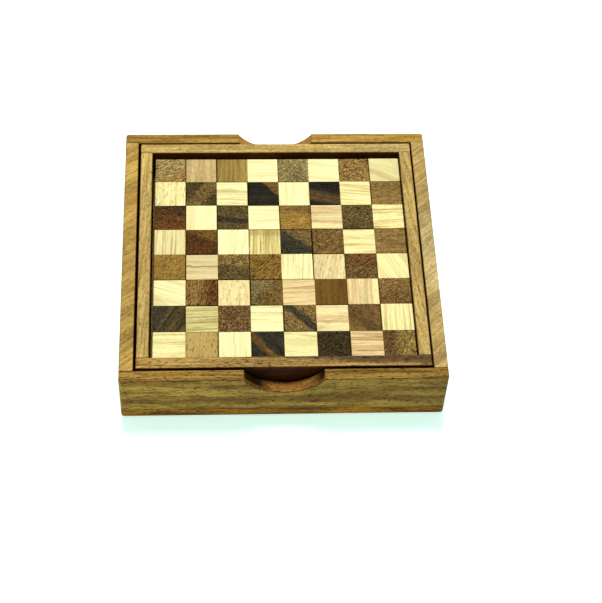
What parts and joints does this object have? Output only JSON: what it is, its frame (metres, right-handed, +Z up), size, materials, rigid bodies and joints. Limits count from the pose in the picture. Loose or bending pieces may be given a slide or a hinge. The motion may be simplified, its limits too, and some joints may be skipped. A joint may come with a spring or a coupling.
{
  "type": "packing puzzle",
  "caption": "Checkerboard pentomino packing puzzle: glued-cube pieces in pale and dark wood fill a lift-out tray, nested in a wooden box with finger notches.",
  "frame": {"origin": "middle of the box's underside, on the surface that it stands on", "axes": "+Z up out of the box, the way the tray and the pieces lift; -Y towards the front notch; +X to the right"},
  "size_m": [0.15, 0.15, 0.0295],
  "materials": {
    "box_wood": "satin oiled hardwood, golden brown",
    "tray_wood": "satin oiled hardwood, yellow brown",
    "light_wood": "smooth satin, pale cream yellow",
    "dark_wood": "smooth satin, dark figured brown"
  },
  "bodies": {
    "box": {"box_base": "box_wood", "box_front_wall": "box_wood", "box_back_wall": "box_wood", "box_left_wall": "box_wood", "box_right_wall": "box_wood"},
    "tray": {"tray_floor": "tray_wood", "tray_front_rail": "tray_wood", "tray_back_rail": "tray_wood", "tray_left_rail": "tray_wood", "tray_right_rail": "tray_wood"},
    "f_piece": {"f_piece_light_cubes": "light_wood", "f_piece_dark_cubes": "dark_wood"},
    "i_piece": {"i_piece_light_cubes": "light_wood", "i_piece_dark_cubes": "dark_wood"},
    "l_piece": {"l_piece_light_cubes": "light_wood", "l_piece_dark_cubes": "dark_wood"},
    "n_piece": {"n_piece_light_cubes": "light_wood", "n_piece_dark_cubes": "dark_wood"},
    "p_piece": {"p_piece_light_cubes": "light_wood", "p_piece_dark_cubes": "dark_wood"},
    "t_piece": {"t_piece_light_cubes": "light_wood", "t_piece_dark_cubes": "dark_wood"},
    "u_piece": {"u_piece_light_cubes": "light_wood", "u_piece_dark_cubes": "dark_wood"},
    "v_piece": {"v_piece_light_cubes": "light_wood", "v_piece_dark_cubes": "dark_wood"},
    "w_piece": {"w_piece_light_cubes": "light_wood", "w_piece_dark_cubes": "dark_wood"},
    "x_piece": {"x_piece_light_cubes": "light_wood", "x_piece_dark_cubes": "dark_wood"},
    "y_piece": {"y_piece_light_cubes": "light_wood", "y_piece_dark_cubes": "dark_wood"},
    "z_piece": {"z_piece_light_cubes": "light_wood", "z_piece_dark_cubes": "dark_wood"},
    "square_piece": {"square_piece_light_cubes": "light_wood", "square_piece_dark_cubes": "dark_wood"}
  },
  "joints": [
    {"name": "tray_lift", "type": "slide", "parent": "box", "child": "tray", "axis": [0, 0, 1], "range_m": [0, 0.04]},
    {"name": "f_piece_lift", "type": "slide", "parent": "tray", "child": "f_piece", "axis": [0, 0, 1], "range_m": [0, 0.03]},
    {"name": "i_piece_lift", "type": "slide", "parent": "tray", "child": "i_piece", "axis": [0, 0, 1], "range_m": [0, 0.03]},
    {"name": "l_piece_lift", "type": "slide", "parent": "tray", "child": "l_piece", "axis": [0, 0, 1], "range_m": [0, 0.03]},
    {"name": "n_piece_lift", "type": "slide", "parent": "tray", "child": "n_piece", "axis": [0, 0, 1], "range_m": [0, 0.03]},
    {"name": "p_piece_lift", "type": "slide", "parent": "tray", "child": "p_piece", "axis": [0, 0, 1], "range_m": [0, 0.03]},
    {"name": "t_piece_lift", "type": "slide", "parent": "tray", "child": "t_piece", "axis": [0, 0, 1], "range_m": [0, 0.03]},
    {"name": "u_piece_lift", "type": "slide", "parent": "tray", "child": "u_piece", "axis": [0, 0, 1], "range_m": [0, 0.03]},
    {"name": "v_piece_lift", "type": "slide", "parent": "tray", "child": "v_piece", "axis": [0, 0, 1], "range_m": [0, 0.03]},
    {"name": "w_piece_lift", "type": "slide", "parent": "tray", "child": "w_piece", "axis": [0, 0, 1], "range_m": [0, 0.03]},
    {"name": "x_piece_lift", "type": "slide", "parent": "tray", "child": "x_piece", "axis": [0, 0, 1], "range_m": [0, 0.03]},
    {"name": "y_piece_lift", "type": "slide", "parent": "tray", "child": "y_piece", "axis": [0, 0, 1], "range_m": [0, 0.03]},
    {"name": "z_piece_lift", "type": "slide", "parent": "tray", "child": "z_piece", "axis": [0, 0, 1], "range_m": [0, 0.03]},
    {"name": "square_piece_lift", "type": "slide", "parent": "tray", "child": "square_piece", "axis": [0, 0, 1], "range_m": [0, 0.03]}
  ]
}
